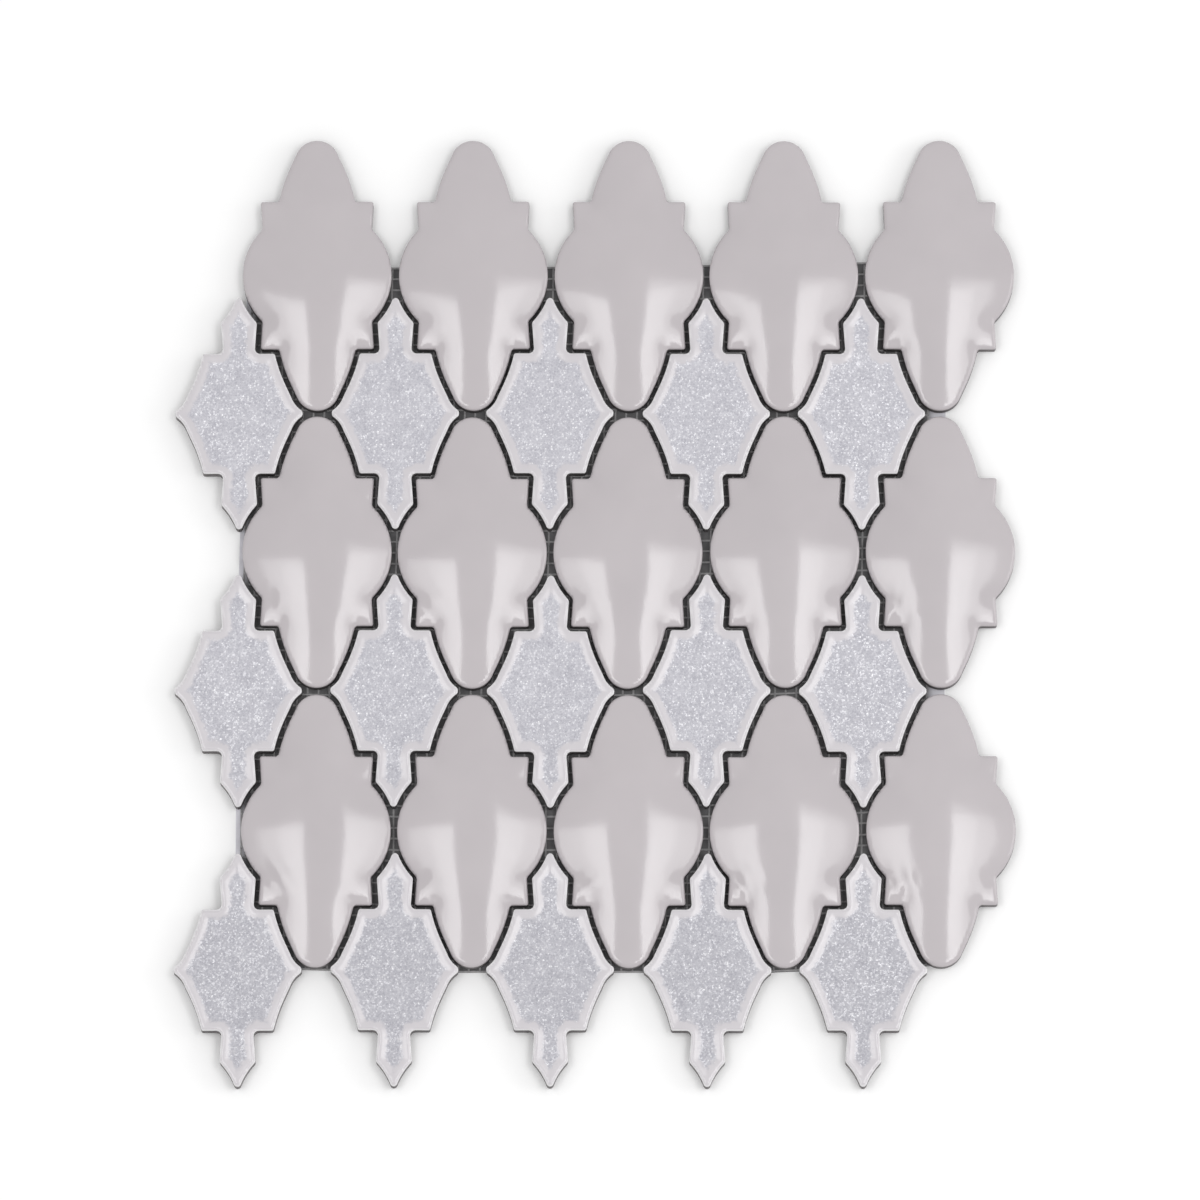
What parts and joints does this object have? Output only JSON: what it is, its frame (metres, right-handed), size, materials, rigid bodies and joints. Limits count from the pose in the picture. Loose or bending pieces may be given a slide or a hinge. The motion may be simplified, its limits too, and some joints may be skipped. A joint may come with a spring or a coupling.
{
  "type": "mosaic tile",
  "caption": "Mosaic sheet of domed grey lantern tiles and smaller crackle-glazed tiles on a backed glass-fibre net.",
  "frame": {"origin": "under the middle of the whole sheet, on the plane that the backing lies on", "axes": "+Z out of the glazed faces, +Y along the tiles towards the edge where the lantern tiles begin, +X across the rows"},
  "size_m": [0.3016, 0.3438, 0.0101],
  "materials": {
    "lantern_glaze": "gloss",
    "crackle_glaze": "gloss",
    "net": "matte",
    "film": "matte"
  },
  "bodies": {
    "root": {"lantern_tile_r1_c1": "lantern_glaze", "lantern_tile_r1_c2": "lantern_glaze", "lantern_tile_r1_c3": "lantern_glaze", "lantern_tile_r1_c4": "lantern_glaze", "lantern_tile_r1_c5": "lantern_glaze", "lantern_tile_r2_c1": "lantern_glaze", "lantern_tile_r2_c2": "lantern_glaze", "lantern_tile_r2_c3": "lantern_glaze", "lantern_tile_r2_c4": "lantern_glaze", "lantern_tile_r2_c5": "lantern_glaze", "lantern_tile_r3_c1": "lantern_glaze", "lantern_tile_r3_c2": "lantern_glaze", "lantern_tile_r3_c3": "lantern_glaze", "lantern_tile_r3_c4": "lantern_glaze", "lantern_tile_r3_c5": "lantern_glaze", "crackle_tile_r1_c1": "crackle_glaze", "crackle_tile_r1_c2": "crackle_glaze", "crackle_tile_r1_c3": "crackle_glaze", "crackle_tile_r1_c4": "crackle_glaze", "crackle_tile_r1_c5": "crackle_glaze", "crackle_tile_r2_c1": "crackle_glaze", "crackle_tile_r2_c2": "crackle_glaze", "crackle_tile_r2_c3": "crackle_glaze", "crackle_tile_r2_c4": "crackle_glaze", "crackle_tile_r2_c5": "crackle_glaze", "crackle_tile_r3_c1": "crackle_glaze", "crackle_tile_r3_c2": "crackle_glaze", "crackle_tile_r3_c3": "crackle_glaze", "crackle_tile_r3_c4": "crackle_glaze", "crackle_tile_r3_c5": "crackle_glaze", "net_warp_yarns": "net", "net_weft_yarns": "net", "backing_film": "film"}
  },
  "joints": []
}
